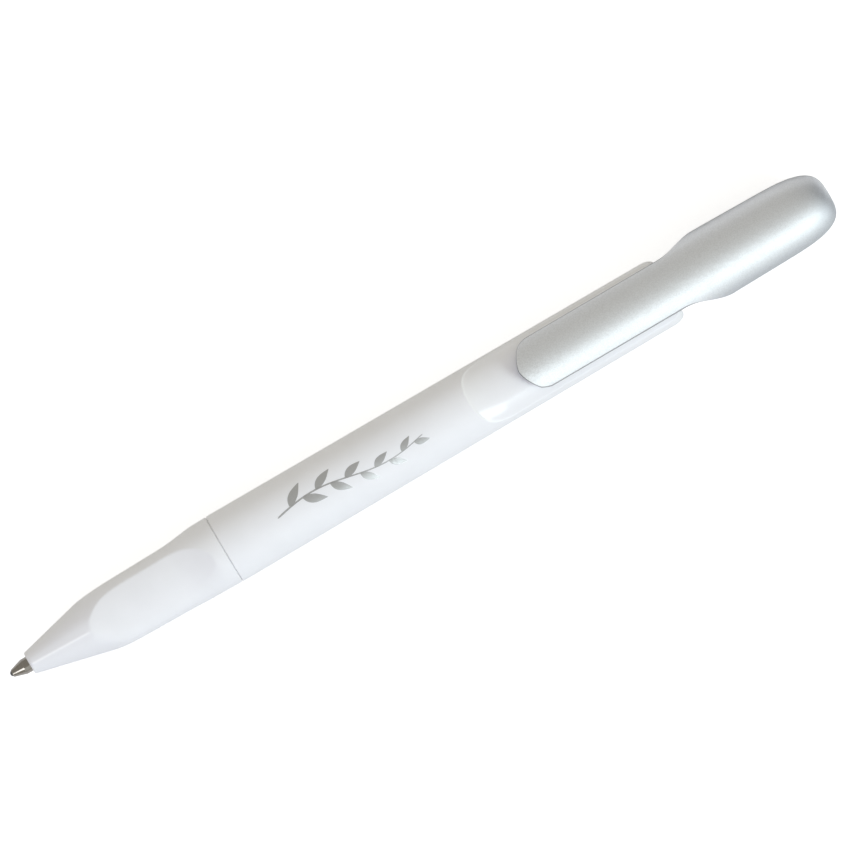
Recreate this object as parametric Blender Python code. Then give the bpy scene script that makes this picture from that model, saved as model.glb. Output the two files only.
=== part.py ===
"""Push-button ballpoint pen, lying on its side with the clip up.

Lengths below are in millimetres, measured from the end of the writing ball along the
pen's axis (X, towards the button) and from that axis. The pen's empty turns them into
metres: the origin of the model is under the middle of the pen, on the surface it lies on.
"""

import math

import bmesh
import bpy
from mathutils import Matrix

MM = 0.001

# Overall
PEN_LENGTH = 141.0
BARREL_SIDES = 24
GRIP_SIDES = 36
INNER_SIDES = 16
SHARP_ANGLE = 28.0
CUTTER_TOP = 9.0

# Grip section: nose cone, shoulder, finger pads and threaded spigot
NOSE_MOUTH_X = 3.3
NOSE_MOUTH_R = 1.72
NOSE_EDGE = 0.3
CONE_END_X = 15.4
CONE_END_R = 4.62
SHOULDER_END_X = 20.5
SHOULDER_END_R = 5.22
SEAM_X = 36.6
SEAM_R = 5.5
SEAM_CHAMFER = 0.12
SEAM_GAP = 0.25
SPIGOT_R = 4.15
SPIGOT_END_X = 46.0
NIB_BORE_R = 1.3
NIB_BORE_END_X = 8.2
SPRING_SEAT_X = 9.9
SPRING_SEAT_R = 1.75
SPRING_ROOM_R = 2.45
SPRING_ROOM_END_X = 35.0
SPRING_ROOM_TAPER = 1.0
SPIGOT_BORE_R = 2.95
PAD_COUNT = 3
PAD_TURN = 10.0
PAD_FLOOR = 3.93
PAD_FLOOR_X = 17.0
PAD_RISE = 0.02
PAD_CROWN_R = 13.0
PAD_REACH = 5.2
PAD_FRONT_X = 11.4
PAD_DISH_X = 17.2
PAD_DISH = 0.027
PAD_RAMP_X = 28.0
PAD_RAMP = 0.029
RIDGE_BEND = 3.0
RIDGE_GAIN = 1.012
RIDGE_FADE_X = 17.5

# Barrel
BARREL_FRONT_X = SEAM_X + SEAM_GAP
BARREL_FRONT_R = 5.63
BARREL_REAR_X = 113.4
BARREL_REAR_R = 5.25
BARREL_REAR_ROUND = 1.9
SOCKET_R = 4.35
SOCKET_END_X = 47.0
BARREL_BORE_R = 4.05
BARREL_BORE_END_X = 108.6
ROD_HOLE_R = 2.95

# Shallow recess in the barrel under the clip
RECESS_X = 79.2
RECESS_RAMP = 5.0
RECESS_DEPTH = 0.75
RECESS_CROWN_R = 6.7
RECESS_REACH = 5.4

# Clip and button, one moulding
CLIP_FRONT_X = 87.8
CLIP_ROUND = 2.7
CLIP_ROUND_POWER = 1.5
CLIP_NOSE_START = 0.12
CLIP_HALF_WIDTH = 3.975
CLIP_WALL = 1.0
CLIP_EDGE_WALL = 0.6
BEAD_X = 92.2
BEAD_HALF = 1.2
BEAD_HEIGHT = 0.3
NECK_X = 113.8
HEAD_X = 121.0
HEAD_R = 5.53
HEAD_LIFT = 0.75
HEAD_WALL = 1.2
HEAD_FRONT_RAKE = 1.3
HEAD_RING_X = 123.0
HEAD_TAPER_X = 134.0
HEAD_TAPER_R = 5.2
HEAD_DOME_X = 134.5
HEAD_DOME_POWER = 2.7
HEAD_HOLLOW_END_X = 136.5

# Push rod
ROD_FRONT_X = 94.3
ROD_R = 2.6
ROD_TIP_R = 2.3
ROD_TIP_TAPER = 1.5
ROD_PLUG_X = 123.2
ROD_PLUG_R = 3.85
ROD_PLUG_EDGE = 0.5
ROD_END_X = 129.0
ROD_OVERLAP = 1.0
ROD_SPLINE_X = 97.0
ROD_SPLINE_LENGTH = 4.0

# Cam sleeve and rotor
SLEEVE_FRONT_X = 94.0
SLEEVE_REAR_X = 108.2
SLEEVE_R = 3.9
SLEEVE_BORE_R = 2.85
SLEEVE_LIP = 1.2
SPLINE_COUNT = 4
SPLINE_R = 3.25
SPLINE_WIDTH = 1.2
GROOVE_R = 3.5
GROOVE_WIDTH = 1.8
ROTOR_FRONT_X = 84.5
ROTOR_REAR_X = 93.2
ROTOR_R = 2.5
ROTOR_EDGE = 0.5
ROTOR_CUP_R = 1.8
ROTOR_CUP_END_X = 88.6
ROTOR_SPLINE_X = 90.0
ROTOR_SPLINE_LENGTH = 2.8
TOOTH_DEPTH = 0.7

# Refill
BALL_R = 0.5
NIB_RIM_X = 0.35
NIB_RIM_R = 0.55
BALL_MOUTH_R = 0.495
BALL_SEAT_R = 0.535
BALL_SEAT_END_X = 1.06
INK_CHANNEL_R = 0.25
NIB_R = 1.15
NIB_CONE_END_X = 2.3
NIB_BODY_END_X = 10.0
NIB_SHANK_R = 0.75
NIB_SHANK_END_X = 14.5
HOLDER_FRONT_X = 10.3
HOLDER_TIP_R = 1.2
HOLDER_TIP_TAPER = 0.8
HOLDER_BORE_R = 0.85
HOLDER_BORE_END_X = 14.8
HOLDER_SHOULDER_X = 16.0
HOLDER_SPIGOT_R = 1.05
HOLDER_END_X = 20.0
HOLDER_CHANNEL_R = 0.5
TUBE_R = 1.6
TUBE_BORE_R = 1.15
TUBE_FRONT_X = 16.3
TUBE_REAR_X = 86.0
STOP_X = 27.0
STOP_LENGTH = 1.0
STOP_R = 2.2
INK_R = 1.05
INK_FRONT_X = 20.3
INK_REAR_X = 70.0
INK_HOLLOW = 0.8
PLUG_FRONT_X = 82.0
PLUG_SPIGOT_R = 1.05
PLUG_FLANGE_X = 86.3
PLUG_END_X = 88.3
PLUG_VENT_R = 0.35

# Return spring
WIRE_R = 0.19
SPRING_CLEARANCE = 0.3
SPRING_MEAN_R = 2.0
SPRING_TURNS = 9
POINTS_PER_TURN = 10
SPRING_FRONT_X = SPRING_SEAT_X + WIRE_R + SPRING_CLEARANCE
SPRING_REAR_X = STOP_X - WIRE_R - SPRING_CLEARANCE

AXIS_HEIGHT = BARREL_FRONT_R * math.cos(math.pi / BARREL_SIDES)


def clear_scene():
    """Remove whatever the scene holds."""
    for thing in list(bpy.data.objects):
        bpy.data.objects.remove(thing, do_unlink=True)


def make_empty(name, parent=None):
    """An empty to which the pieces that move together are parented."""
    empty = bpy.data.objects.new(name, None)
    empty.empty_display_size = 10 * MM
    bpy.context.collection.objects.link(empty)
    empty.parent = parent
    return empty


def make_material(name, colour, roughness, metallic=0.0):
    """A plain Principled material; colour is linear RGB."""
    material = bpy.data.materials.new(name)
    material.use_nodes = True
    shader = material.node_tree.nodes["Principled BSDF"]
    shader.inputs["Base Color"].default_value = (*colour, 1.0)
    shader.inputs["Roughness"].default_value = roughness
    shader.inputs["Metallic"].default_value = metallic
    return material


def add_object(name, bm, parent, material=None):
    """Turn a bmesh in millimetres into an object; without a material it is a cutter."""
    bmesh.ops.remove_doubles(bm, verts=bm.verts, dist=1e-4)
    bmesh.ops.scale(bm, vec=(MM, MM, MM), verts=bm.verts)
    bmesh.ops.recalc_face_normals(bm, faces=bm.faces)
    mesh = bpy.data.meshes.new(name)
    bm.to_mesh(mesh)
    bm.free()
    mesh.shade_smooth()
    mesh.set_sharp_from_angle(angle=math.radians(SHARP_ANGLE))
    thing = bpy.data.objects.new(name, mesh)
    bpy.context.collection.objects.link(thing)
    thing.parent = parent
    if material is None:
        thing.hide_render = True
        thing.display_type = "WIRE"
    else:
        mesh.materials.append(material)
    return thing


def cut(thing, cutter, operation="DIFFERENCE"):
    """Keep a Boolean of the cutter on the object."""
    boolean = thing.modifiers.new(cutter.name, "BOOLEAN")
    boolean.operation = operation
    boolean.object = cutter
    boolean.solver = "EXACT"


def turned_mesh(outline, sides, start=0.5):
    """Turn an outline of (x, radius) points about the X axis.

    An outline that begins on the axis is a solid; any other is closed into a ring.
    start is the first side's angle from the top, in steps.
    """
    bm = bmesh.new()
    angle = start * math.tau / sides
    verts = [bm.verts.new((x, r * math.sin(angle), r * math.cos(angle))) for x, r in outline]
    edges = [bm.edges.new(pair) for pair in zip(verts, verts[1:])]
    if outline[0][1] > 0:
        edges.append(bm.edges.new((verts[-1], verts[0])))
    bmesh.ops.spin(
        bm,
        geom=verts + edges,
        cent=(0, 0, 0),
        axis=(1, 0, 0),
        angle=math.tau,
        steps=sides,
        use_merge=True,
    )
    return bm


def grid_solid(x_stations, y_stations, height):
    """A cutter: everything above the surface height(x, y), up to a level clear of the pen."""
    bm = bmesh.new()
    rows = [[bm.verts.new((x, y, height(x, y))) for y in y_stations] for x in x_stations]
    floor = [
        bm.faces.new((rows[i][j], rows[i + 1][j], rows[i + 1][j + 1], rows[i][j + 1]))
        for i in range(len(x_stations) - 1)
        for j in range(len(y_stations) - 1)
    ]
    lifted = bmesh.ops.extrude_face_region(bm, geom=floor, use_keep_orig=True)
    for item in lifted["geom"]:
        if isinstance(item, bmesh.types.BMVert):
            item.co.z = CUTTER_TOP
    return bm


def spread(low, high, count):
    """count + 1 evenly spaced values from low to high."""
    return [low + (high - low) * i / count for i in range(count + 1)]


def sag(radius, offset):
    """How far an arc of this radius falls at an offset from its crown."""
    return radius - math.sqrt(radius * radius - offset * offset)


def arc_points(x0, r0, x1, r1, slope0, slope1, count):
    """Points of a smooth blend between two (x, radius) ends with given slopes."""
    span = x1 - x0
    points = []
    for i in range(1, count):
        t = i / count
        a = (1 + 2 * t) * (1 - t) ** 2 * r0 + t * (1 - t) ** 2 * span * slope0
        b = t * t * (3 - 2 * t) * r1 + t * t * (t - 1) * span * slope1
        points.append((x0 + span * t, a + b))
    return points


def grip_outline():
    """Half section of the grip: outside from the mouth to the spigot, then back inside."""
    cone_slope = (CONE_END_R - NOSE_MOUTH_R - NOSE_EDGE) / (CONE_END_X - NOSE_MOUTH_X - NOSE_EDGE)
    body_slope = (SEAM_R - SHOULDER_END_R) / (SEAM_X - SHOULDER_END_X)
    cone = [
        (x, NOSE_MOUTH_R + NOSE_EDGE + cone_slope * (x - NOSE_MOUTH_X - NOSE_EDGE))
        for x in spread(NOSE_MOUTH_X + NOSE_EDGE, CONE_END_X, 4)
    ]
    shoulder = arc_points(
        CONE_END_X, CONE_END_R, SHOULDER_END_X, SHOULDER_END_R, cone_slope, body_slope, 5
    )
    return [
        (NOSE_MOUTH_X, NOSE_MOUTH_R),
        *cone,
        *shoulder,
        (SHOULDER_END_X, SHOULDER_END_R),
        (SEAM_X - SEAM_CHAMFER, SEAM_R),
        (SEAM_X, SEAM_R - SEAM_CHAMFER),
        (SEAM_X, SPIGOT_R),
        (SPIGOT_END_X, SPIGOT_R),
        (SPIGOT_END_X, SPIGOT_BORE_R),
        (SPRING_ROOM_END_X, SPIGOT_BORE_R),
        (SPRING_ROOM_END_X - SPRING_ROOM_TAPER, SPRING_ROOM_R),
        (SPRING_SEAT_X, SPRING_ROOM_R),
        (SPRING_SEAT_X, SPRING_SEAT_R),
        (NIB_BORE_END_X, NIB_BORE_R),
        (NOSE_MOUTH_X, NIB_BORE_R),
    ]


def ridge_factor(angle):
    """Section of the nose: one flattened arc per pad, meeting at a faint ridge in line with it."""
    step = math.tau / PAD_COUNT
    from_side = (angle - math.radians(-PAD_TURN)) % step - step / 2
    half = step / 2 - math.radians(RIDGE_BEND)
    arc_r = math.sin(step / 2) / math.sin(half)
    offset = arc_r * math.cos(half) - math.cos(step / 2)
    along = math.sqrt(arc_r**2 - (offset * math.sin(from_side)) ** 2)
    return RIDGE_GAIN * (along - offset * math.cos(from_side))


def pad_height(x, y):
    """Floor of a finger pad: nearly flat, crowned across, curving out at both ends."""
    floor = PAD_FLOOR + PAD_RISE * (x - PAD_FLOOR_X)
    floor += PAD_DISH * max(0.0, PAD_DISH_X - x) ** 2
    floor += PAD_RAMP * max(0.0, x - PAD_RAMP_X) ** 2
    return floor - sag(PAD_CROWN_R, y)


def make_grip(pen, white):
    """Nose, shoulder and spigot in one turned piece, with three finger pads cut in it."""
    bm = turned_mesh(grip_outline(), GRIP_SIDES, start=0.0)
    for vert in bm.verts:
        radius = math.hypot(vert.co.y, vert.co.z)
        fade = min(1.0, max(0.0, (RIDGE_FADE_X - vert.co.x) / (RIDGE_FADE_X - CONE_END_X)))
        if radius > NOSE_MOUTH_R + NOSE_EDGE / 2 and vert.co.x < RIDGE_FADE_X:
            inside = vert.co.x >= SPRING_SEAT_X and radius <= SPRING_ROOM_R + 0.01
            factor = 1.0 if inside else ridge_factor(math.atan2(vert.co.y, vert.co.z))
            scale = 1 + (factor - 1) * fade
            vert.co.y *= scale
            vert.co.z *= scale
    grip = add_object("grip_section", bm, pen, white)
    x_stations = [*spread(PAD_FRONT_X, PAD_DISH_X, 6), *spread(PAD_RAMP_X, SEAM_X, 7)]
    for i in range(PAD_COUNT):
        bm = grid_solid(x_stations, spread(-PAD_REACH, PAD_REACH, 8), pad_height)
        cutter = add_object(f"pad_cutter_{i}", bm, pen)
        cutter.rotation_euler.x = math.radians(PAD_TURN) - i * math.tau / PAD_COUNT
        cut(grip, cutter)


def barrel_r(x):
    """Outer radius of the barrel, which tapers evenly."""
    share = (x - BARREL_FRONT_X) / (BARREL_REAR_X - BARREL_FRONT_X)
    return BARREL_FRONT_R + (BARREL_REAR_R - BARREL_FRONT_R) * share


def recess_height(x, y):
    """Floor of the recess: flatter than the barrel across, run out like a ground cut in front."""
    short = max(0.0, RECESS_X + RECESS_RAMP - x) / RECESS_RAMP
    depth = RECESS_DEPTH * (1 - short * short)
    return barrel_r(x) - depth - sag(RECESS_CROWN_R, y)


def make_barrel(pen, white):
    """Tapered tube with a rear wall, a rounded rear edge and the recess for the clip."""
    turns = spread(0.0, math.pi / 2, 4)
    rounding = [
        (
            BARREL_REAR_X - BARREL_REAR_ROUND * (1 - math.sin(t)),
            barrel_r(BARREL_REAR_X - BARREL_REAR_ROUND) - BARREL_REAR_ROUND / 2 * (1 - math.cos(t)),
        )
        for t in turns
    ]
    outline = [
        (BARREL_FRONT_X, BARREL_FRONT_R - SEAM_CHAMFER),
        (BARREL_FRONT_X + SEAM_CHAMFER, BARREL_FRONT_R),
        *rounding,
        (BARREL_REAR_X, ROD_HOLE_R),
        (BARREL_BORE_END_X, ROD_HOLE_R),
        (BARREL_BORE_END_X, BARREL_BORE_R),
        (SOCKET_END_X, BARREL_BORE_R),
        (SOCKET_END_X, SOCKET_R),
        (BARREL_FRONT_X, SOCKET_R),
    ]
    barrel = add_object("barrel", turned_mesh(outline, BARREL_SIDES), pen, white)
    ramp_end = RECESS_X + RECESS_RAMP
    x_stations = [*spread(RECESS_X - 1, ramp_end, 6), BARREL_REAR_X + 1]
    bm = grid_solid(x_stations, spread(-RECESS_REACH, RECESS_REACH, 12), recess_height)
    cut(barrel, add_object("recess_cutter", bm, pen))


def clip_half_width(x):
    """Half width of the clip and the neck, seen from above."""
    if x < CLIP_FRONT_X + CLIP_ROUND:
        t = (CLIP_FRONT_X + CLIP_ROUND - x) / CLIP_ROUND
        return CLIP_HALF_WIDTH * (1 - t**CLIP_ROUND_POWER) ** (1 / CLIP_ROUND_POWER)
    t = max(0.0, (x - NECK_X) / (HEAD_X - NECK_X))
    return CLIP_HALF_WIDTH + (HEAD_R - CLIP_HALF_WIDTH) * t * t * (3 - 2 * t)


def head_r(x):
    """Radius of the head's round section, which is also the crown of the clip."""
    taper = HEAD_R + (HEAD_TAPER_R - HEAD_R) * max(0.0, x - HEAD_X) / (HEAD_TAPER_X - HEAD_X)
    dome = max(0.0, x - HEAD_DOME_X) / (PEN_LENGTH - HEAD_DOME_X)
    return taper * max(0.0, 1 - dome**HEAD_DOME_POWER) ** (1 / HEAD_DOME_POWER)


def clip_wall(x, across):
    """Wall of the clip and neck; across runs from -1 to 1 between the edges of the section."""
    t = max(0.0, (x - NECK_X) / (HEAD_X - NECK_X))
    bead = max(0.0, 1 - abs(x - BEAD_X) / BEAD_HALF) * max(0.0, 1 - across**2)
    clip = CLIP_WALL + (CLIP_EDGE_WALL - CLIP_WALL) * across**2
    return clip + (HEAD_WALL - clip) * t * t + BEAD_HEIGHT * math.sin(bead * math.pi / 2)


def section_point(x, radius, angle):
    """A point of a section around the head's own axis, at an angle from the top."""
    return (x, radius * math.sin(angle), HEAD_LIFT + radius * math.cos(angle))


def skin(bm, rows, closed):
    """Faces between neighbouring rows of corners."""
    for first, second in zip(rows, rows[1:]):
        count = len(second) if closed else len(second) - 1
        for j in range(count):
            k = (j + 1) % len(second)
            bm.faces.new((first[j], second[j], second[k], first[k]))


def make_clip_button(button, silver):
    """Clip and button head in one hollow moulding.

    In front of the head the section is an open arc, which widens at the neck until it is
    half a circle; from there on it is a closed ring, domed at the end.
    """
    half_sides = BARREL_SIDES // 2
    acrosses = spread(-1.0, 1.0, half_sides)
    turns = [math.pi * (2 * i / BARREL_SIDES - 0.5) for i in range(BARREL_SIDES)]
    nose = [
        CLIP_FRONT_X + CLIP_ROUND * (1 - math.cos(t))
        for t in spread(CLIP_NOSE_START, math.pi / 2, 5)
    ]
    bead = spread(BEAD_X - BEAD_HALF, BEAD_X + BEAD_HALF, 4)
    neck = spread(NECK_X, HEAD_X, 8)[:-1]
    dome = [
        HEAD_DOME_X + (PEN_LENGTH - HEAD_DOME_X) * math.sin(t)
        for t in spread(0.0, math.pi / 2, 6)
    ]
    bm = bmesh.new()
    outer, inner = [], []
    for x in [*nose, *bead, *neck]:
        reach = math.asin(clip_half_width(x) / HEAD_R)
        outer.append([bm.verts.new(section_point(x, HEAD_R, reach * a)) for a in acrosses])
        inner.append(
            [bm.verts.new(section_point(x, HEAD_R - clip_wall(x, a), reach * a)) for a in acrosses]
        )
    rings, hollows = [], []
    for x in [HEAD_X, HEAD_RING_X, HEAD_TAPER_X, *dome]:
        lags = [max(0.0, -math.cos(t)) * HEAD_FRONT_RAKE if x == HEAD_X else 0.0 for t in turns]
        points = [section_point(x + lag, head_r(x), t) for lag, t in zip(lags, turns)]
        rings.append([bm.verts.new(point) for point in points])
        if x <= HEAD_TAPER_X:
            wall = head_r(x) - HEAD_WALL
            points = [section_point(x + lag, wall, t) for lag, t in zip(lags, turns)]
            hollows.append([bm.verts.new(point) for point in points])
    end_r = head_r(HEAD_TAPER_X) - 2 * HEAD_WALL
    hollows.append([bm.verts.new(section_point(HEAD_HOLLOW_END_X, end_r, t)) for t in turns])
    skin(bm, [*outer, rings[0][: half_sides + 1]], closed=False)
    skin(bm, [*inner, hollows[0][: half_sides + 1]], closed=False)
    for j in (0, half_sides):
        edge = zip([*outer, rings[0]], [*inner, hollows[0]])
        skin(bm, [[over[j], under[j]] for over, under in edge], closed=False)
    skin(bm, [outer[0], inner[0]], closed=False)
    lower = [*range(half_sides, BARREL_SIDES), 0]
    skin(bm, [[rings[0][j] for j in lower], [hollows[0][j] for j in lower]], closed=False)
    skin(bm, rings, closed=True)
    skin(bm, hollows, closed=True)
    bm.faces.new(hollows[-1])
    add_object("clip_button", bm, button, silver)


def toothed(bm, end_x, depth):
    """Pull every other corner of an end ring along the axis, which makes a crown of teeth."""
    ring = [v for v in bm.verts if abs(v.co.x - end_x) < 1e-3 and math.hypot(v.co.y, v.co.z) > 0.1]
    for vert in ring:
        step = math.atan2(vert.co.y, vert.co.z) / (math.tau / INNER_SIDES)
        if round(step - 0.5) % 2:
            vert.co.x += depth


def add_splines(thing, name, front_x, length, half_span, width, operation, parent):
    """Cross bars through the axis: joined on they are splines, cut out they are grooves."""
    for i in range(SPLINE_COUNT // 2):
        bm = bmesh.new()
        bmesh.ops.create_cube(bm, size=1.0)
        bmesh.ops.scale(bm, vec=(length, 2 * half_span, width), verts=bm.verts)
        bmesh.ops.translate(bm, vec=(front_x + length / 2, 0, 0), verts=bm.verts)
        bar = add_object(f"{name}_{i}", bm, parent)
        bar.rotation_euler.x = i * math.pi / 2
        cut(thing, bar, operation)


def make_push_rod(button, white):
    """Rod from the cam to the head, with splines at its front and a plug in the head."""
    outline = [
        (ROD_FRONT_X + TOOTH_DEPTH, 0),
        (ROD_FRONT_X, ROD_TIP_R),
        (ROD_FRONT_X + ROD_TIP_TAPER, ROD_R),
        (ROD_PLUG_X + ROD_OVERLAP, ROD_R),
        (ROD_PLUG_X + ROD_OVERLAP, 0),
    ]
    bm = turned_mesh(outline, INNER_SIDES)
    toothed(bm, ROD_FRONT_X, TOOTH_DEPTH)
    rod = add_object("push_rod", bm, button, white)
    plug = [
        (ROD_PLUG_X, 0),
        (ROD_PLUG_X, ROD_PLUG_R),
        (ROD_END_X - ROD_PLUG_EDGE, ROD_PLUG_R),
        (ROD_END_X, ROD_PLUG_R - ROD_PLUG_EDGE),
        (ROD_END_X, 0),
    ]
    plug_bar = add_object("rod_plug", turned_mesh(plug, BARREL_SIDES), button)
    plug_bar.location.z = HEAD_LIFT * MM
    cut(rod, plug_bar, "UNION")
    add_splines(
        rod, "rod_spline", ROD_SPLINE_X, ROD_SPLINE_LENGTH, SPLINE_R, SPLINE_WIDTH, "UNION", button
    )


def make_cam_sleeve(pen, grey):
    """Sleeve fixed in the barrel, with grooves in which rod and rotor slide and a rear lip."""
    outline = [
        (SLEEVE_FRONT_X, SLEEVE_R),
        (SLEEVE_REAR_X, SLEEVE_R),
        (SLEEVE_REAR_X, SLEEVE_BORE_R),
        (SLEEVE_FRONT_X, SLEEVE_BORE_R),
    ]
    sleeve = add_object("cam_sleeve", turned_mesh(outline, BARREL_SIDES), pen, grey)
    length = SLEEVE_REAR_X - SLEEVE_LIP - SLEEVE_FRONT_X + 1
    front_x = SLEEVE_FRONT_X - 1
    add_splines(sleeve, "groove", front_x, length, GROOVE_R, GROOVE_WIDTH, "DIFFERENCE", pen)


def make_cam_rotor(refill, grey):
    """Cam follower that carries the refill's rear end in a cup and latches on the sleeve."""
    outline = [
        (ROTOR_CUP_END_X, 0),
        (ROTOR_CUP_END_X, ROTOR_CUP_R),
        (ROTOR_FRONT_X, ROTOR_CUP_R),
        (ROTOR_FRONT_X, ROTOR_R),
        (ROTOR_REAR_X - ROTOR_EDGE, ROTOR_R),
        (ROTOR_REAR_X, ROD_TIP_R),
        (ROTOR_REAR_X + TOOTH_DEPTH, 0),
    ]
    bm = turned_mesh(outline, INNER_SIDES)
    toothed(bm, ROTOR_REAR_X, TOOTH_DEPTH)
    rotor = add_object("cam_rotor", bm, refill, grey)
    add_splines(
        rotor,
        "rotor_spline",
        ROTOR_SPLINE_X,
        ROTOR_SPLINE_LENGTH,
        SPLINE_R,
        SPLINE_WIDTH,
        "UNION",
        refill,
    )


def make_refill(refill, materials):
    """Nib, holder, tube with its spring stop, ink and vented end plug."""
    nib = [
        (NIB_RIM_X, BALL_MOUTH_R),
        (NIB_RIM_X, NIB_RIM_R),
        (NIB_CONE_END_X, NIB_R),
        (NIB_BODY_END_X, NIB_R),
        (NIB_BODY_END_X, NIB_SHANK_R),
        (NIB_SHANK_END_X, NIB_SHANK_R),
        (NIB_SHANK_END_X, INK_CHANNEL_R),
        (BALL_SEAT_END_X, INK_CHANNEL_R),
        (BALL_SEAT_END_X, BALL_SEAT_R),
        (BALL_R, BALL_SEAT_R),
    ]
    holder = [
        (HOLDER_FRONT_X, HOLDER_TIP_R),
        (HOLDER_FRONT_X + HOLDER_TIP_TAPER, TUBE_R),
        (HOLDER_SHOULDER_X, TUBE_R),
        (HOLDER_SHOULDER_X, HOLDER_SPIGOT_R),
        (HOLDER_END_X, HOLDER_SPIGOT_R),
        (HOLDER_END_X, HOLDER_CHANNEL_R),
        (HOLDER_BORE_END_X, HOLDER_CHANNEL_R),
        (HOLDER_BORE_END_X, HOLDER_BORE_R),
        (HOLDER_FRONT_X, HOLDER_BORE_R),
    ]
    tube = [
        (TUBE_FRONT_X, TUBE_R),
        (STOP_X, TUBE_R),
        (STOP_X, STOP_R),
        (STOP_X + STOP_LENGTH, STOP_R),
        (STOP_X + STOP_LENGTH, TUBE_R),
        (TUBE_REAR_X, TUBE_R),
        (TUBE_REAR_X, TUBE_BORE_R),
        (TUBE_FRONT_X, TUBE_BORE_R),
    ]
    ink = [
        (INK_FRONT_X, 0),
        (INK_FRONT_X, INK_R),
        (INK_REAR_X, INK_R),
        (INK_REAR_X - INK_HOLLOW, 0),
    ]
    plug = [
        (PLUG_FRONT_X, PLUG_SPIGOT_R),
        (PLUG_FLANGE_X, PLUG_SPIGOT_R),
        (PLUG_FLANGE_X, TUBE_R),
        (PLUG_END_X, TUBE_R),
        (PLUG_END_X, PLUG_VENT_R),
        (PLUG_FRONT_X, PLUG_VENT_R),
    ]
    pieces = {
        "nib": (nib, "nickel"),
        "nib_holder": (holder, "white"),
        "refill_tube": (tube, "clear"),
        "ink_column": (ink, "ink"),
        "refill_plug": (plug, "white"),
    }
    for name, (outline, material) in pieces.items():
        add_object(name, turned_mesh(outline, INNER_SIDES), refill, materials[material])


def make_ball(refill, steel):
    """Writing ball, with its origin at its centre, where it rolls in the nib's socket."""
    bm = bmesh.new()
    pole_forward = Matrix.Rotation(math.pi / 2, 4, "Y")
    bmesh.ops.create_icosphere(bm, subdivisions=2, radius=BALL_R, matrix=pole_forward)
    ball = add_object("ball", bm, refill, steel)
    ball.location.x = BALL_R * MM


def make_spring(pen, steel):
    """Return spring: one helix from the seat in the nose to the stop on the refill tube."""
    count = SPRING_TURNS * POINTS_PER_TURN
    curve = bpy.data.curves.new("return_spring", "CURVE")
    curve.dimensions = "3D"
    curve.bevel_depth = WIRE_R * MM
    curve.bevel_resolution = 1
    curve.use_fill_caps = True
    spline = curve.splines.new("POLY")
    spline.points.add(count)
    for i, x in enumerate(spread(SPRING_FRONT_X, SPRING_REAR_X, count)):
        turn = math.tau * i / POINTS_PER_TURN
        y = SPRING_MEAN_R * math.cos(turn)
        z = SPRING_MEAN_R * math.sin(turn)
        spline.points[i].co = (x * MM, y * MM, z * MM, 1.0)
    spring = bpy.data.objects.new("return_spring", curve)
    bpy.context.collection.objects.link(spring)
    spring.parent = pen
    curve.materials.append(steel)


def main():
    """Build every piece under the pen's empty."""
    clear_scene()
    materials = {
        "white": make_material("white_plastic", (0.83, 0.85, 0.89), 0.35),
        "silver": make_material("silver_plastic", (0.50, 0.51, 0.51), 0.32, 0.75),
        "grey": make_material("grey_plastic", (0.45, 0.46, 0.47), 0.5),
        "nickel": make_material("nickel_silver", (0.36, 0.35, 0.33), 0.25, 1.0),
        "steel": make_material("steel", (0.55, 0.55, 0.55), 0.2, 1.0),
        "clear": make_material("clear_plastic", (0.80, 0.82, 0.82), 0.2),
        "ink": make_material("ink", (0.01, 0.02, 0.12), 0.3),
    }
    pen = make_empty("pen")
    pen.location = (-PEN_LENGTH / 2 * MM, 0, AXIS_HEIGHT * MM)
    button = make_empty("button_slide", pen)
    refill = make_empty("refill_slide", pen)
    make_grip(pen, materials["white"])
    make_barrel(pen, materials["white"])
    make_cam_sleeve(pen, materials["grey"])
    make_spring(pen, materials["steel"])
    make_clip_button(button, materials["silver"])
    make_push_rod(button, materials["white"])
    make_cam_rotor(refill, materials["grey"])
    make_refill(refill, materials)
    make_ball(refill, materials["steel"])


main()
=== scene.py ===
"""Looks of a push-button ballpoint pen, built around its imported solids.

Lengths are in millimetres, measured from the end of the writing ball along the pen (x) and from
the pen's axis (y to the left, z towards the clip). placed turns them into metres in the row
frame. Angles around the pen are measured from the clip, positive towards +y.
"""

from __future__ import annotations

import functools
import logging
import math
from dataclasses import dataclass
from enum import Enum
from typing import Protocol

import bmesh
import bpy
import numpy as np
from mathutils import Matrix, Vector

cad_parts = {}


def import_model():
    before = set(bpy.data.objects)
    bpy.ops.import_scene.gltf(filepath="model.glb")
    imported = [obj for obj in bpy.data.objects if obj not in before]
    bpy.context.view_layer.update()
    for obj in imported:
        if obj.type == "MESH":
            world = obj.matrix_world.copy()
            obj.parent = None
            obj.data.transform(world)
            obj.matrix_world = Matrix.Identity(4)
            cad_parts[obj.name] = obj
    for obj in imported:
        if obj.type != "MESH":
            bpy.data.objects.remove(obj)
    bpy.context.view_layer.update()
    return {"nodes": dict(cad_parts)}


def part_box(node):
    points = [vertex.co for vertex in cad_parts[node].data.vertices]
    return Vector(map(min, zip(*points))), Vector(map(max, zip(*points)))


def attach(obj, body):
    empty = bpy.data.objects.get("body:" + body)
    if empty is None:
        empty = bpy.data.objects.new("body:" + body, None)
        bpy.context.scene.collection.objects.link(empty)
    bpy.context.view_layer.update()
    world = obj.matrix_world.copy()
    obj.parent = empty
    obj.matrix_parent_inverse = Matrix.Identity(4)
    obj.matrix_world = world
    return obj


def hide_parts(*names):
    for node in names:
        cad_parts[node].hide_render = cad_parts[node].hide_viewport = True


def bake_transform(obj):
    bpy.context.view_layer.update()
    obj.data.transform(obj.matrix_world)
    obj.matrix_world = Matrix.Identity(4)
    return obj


Array = np.ndarray
Number = float | Array
Colour = tuple[float, float, float]
Point = tuple[float, float, float]
Pair = tuple[float, float]
Outline = tuple[Pair, ...]
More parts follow.
